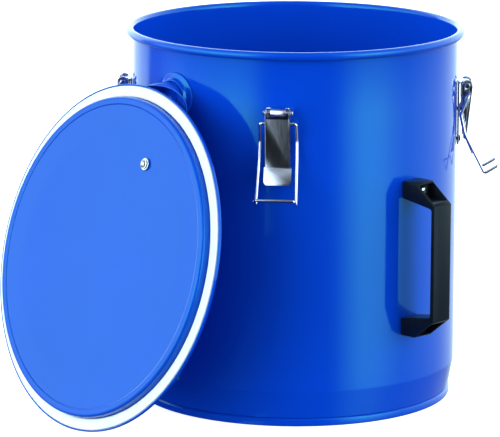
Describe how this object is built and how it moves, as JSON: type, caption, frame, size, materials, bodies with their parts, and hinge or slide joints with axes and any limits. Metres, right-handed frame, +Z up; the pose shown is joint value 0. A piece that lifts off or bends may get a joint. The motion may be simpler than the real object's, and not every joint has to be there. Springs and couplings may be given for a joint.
{
  "type": "lidded oil can",
  "caption": "Open round steel can with a rolled rim, side pull handles, a low pouring spout, wire-bail latches and a gasketed lid leaning on its side.",
  "frame": {"origin": "on the ground under the centre of the whole object's bounding box; the can's own axis stands 63.5 mm behind it, at +Y", "axes": "+Z up; -Y out through the spout towards the leaning lid; +X to the right-hand pull handle"},
  "size_m": [0.4504, 0.4981, 0.4079],
  "materials": {
    "blue_enamel": "high-gloss blue enamel",
    "latch_steel": "polished stainless steel",
    "zinc_plate": "zinc-plated hardware",
    "black_plastic": "satin moulded plastic",
    "white_silicone": "soft satin silicone"
  },
  "bodies": {
    "can": {"can_shell": "blue_enamel", "bottom_pan": "blue_enamel", "base_ring": "blue_enamel", "spout": "blue_enamel", "spout_collar": "blue_enamel", "handle_left": "black_plastic", "handle_left_screw_upper": "zinc_plate", "handle_left_screw_lower": "zinc_plate", "handle_left_nut_upper": "zinc_plate", "handle_left_nut_lower": "zinc_plate", "handle_right": "black_plastic", "handle_right_screw_upper": "zinc_plate", "handle_right_screw_lower": "zinc_plate", "handle_right_nut_upper": "zinc_plate", "handle_right_nut_lower": "zinc_plate", "latch_1_plate": "latch_steel", "latch_1_pin": "latch_steel", "latch_1_rivet_upper": "latch_steel", "latch_1_rivet_lower": "latch_steel", "latch_2_plate": "latch_steel", "latch_2_pin": "latch_steel", "latch_2_rivet_upper": "latch_steel", "latch_2_rivet_lower": "latch_steel", "latch_3_plate": "latch_steel", "latch_3_pin": "latch_steel", "latch_3_rivet_upper": "latch_steel", "latch_3_rivet_lower": "latch_steel", "latch_4_plate": "latch_steel", "latch_4_pin": "latch_steel", "latch_4_rivet_upper": "latch_steel", "latch_4_rivet_lower": "latch_steel"},
    "latch_1_lever": {"latch_1_lever": "latch_steel"},
    "latch_1_bail": {"latch_1_bail": "latch_steel"},
    "latch_2_lever": {"latch_2_lever": "latch_steel"},
    "latch_2_bail": {"latch_2_bail": "latch_steel"},
    "latch_3_lever": {"latch_3_lever": "latch_steel"},
    "latch_3_bail": {"latch_3_bail": "latch_steel"},
    "latch_4_lever": {"latch_4_lever": "latch_steel"},
    "latch_4_bail": {"latch_4_bail": "latch_steel"},
    "lid": {"lid_pan": "blue_enamel", "lid_gasket": "white_silicone", "lid_knob": "black_plastic", "lid_knob_screw": "zinc_plate", "lid_knob_washer": "zinc_plate"}
  },
  "joints": [
    {"name": "latch_1_lever_swing", "type": "hinge", "parent": "can", "child": "latch_1_lever", "pos_m": [0.12129, -0.08105, 0.3445], "axis": [-0.766, -0.6428, 0], "range_deg": [0, 150]},
    {"name": "latch_1_bail_swing", "type": "hinge", "parent": "latch_1_lever", "child": "latch_1_bail", "pos_m": [0.12213, -0.08205, 0.3334], "axis": [0.766, 0.6428, 0], "range_deg": [-164, 0]},
    {"name": "latch_2_lever_swing", "type": "hinge", "parent": "can", "child": "latch_2_lever", "pos_m": [0.13108, 0.19924, 0.3445], "axis": [0.7193, -0.6947, 0], "range_deg": [0, 150]},
    {"name": "latch_2_bail_swing", "type": "hinge", "parent": "latch_2_lever", "child": "latch_2_bail", "pos_m": [0.13198, 0.20017, 0.3334], "axis": [-0.7193, 0.6947, 0], "range_deg": [-164, 0]},
    {"name": "latch_3_lever_swing", "type": "hinge", "parent": "can", "child": "latch_3_lever", "pos_m": [-0.13574, 0.19458, 0.3445], "axis": [0.6947, 0.7193, 0], "range_deg": [0, 150]},
    {"name": "latch_3_bail_swing", "type": "hinge", "parent": "latch_3_lever", "child": "latch_3_bail", "pos_m": [-0.13667, 0.19548, 0.3334], "axis": [-0.6947, -0.7193, 0], "range_deg": [-164, 0]},
    {"name": "latch_4_lever_swing", "type": "hinge", "parent": "can", "child": "latch_4_lever", "pos_m": [-0.13801, -0.06519, 0.3445], "axis": [-0.682, 0.7314, 0], "range_deg": [0, 150]},
    {"name": "latch_4_bail_swing", "type": "hinge", "parent": "latch_4_lever", "child": "latch_4_bail", "pos_m": [-0.13896, -0.06608, 0.3334], "axis": [0.682, -0.7314, 0], "range_deg": [-164, 0]},
    {"name": "lid_swing", "type": "hinge", "parent": "can", "child": "lid", "pos_m": [-0.02245, -0.15012, 0.39333], "axis": [-0.9945, 0.1045, 0], "range_deg": [0, 254.6]}
  ]
}
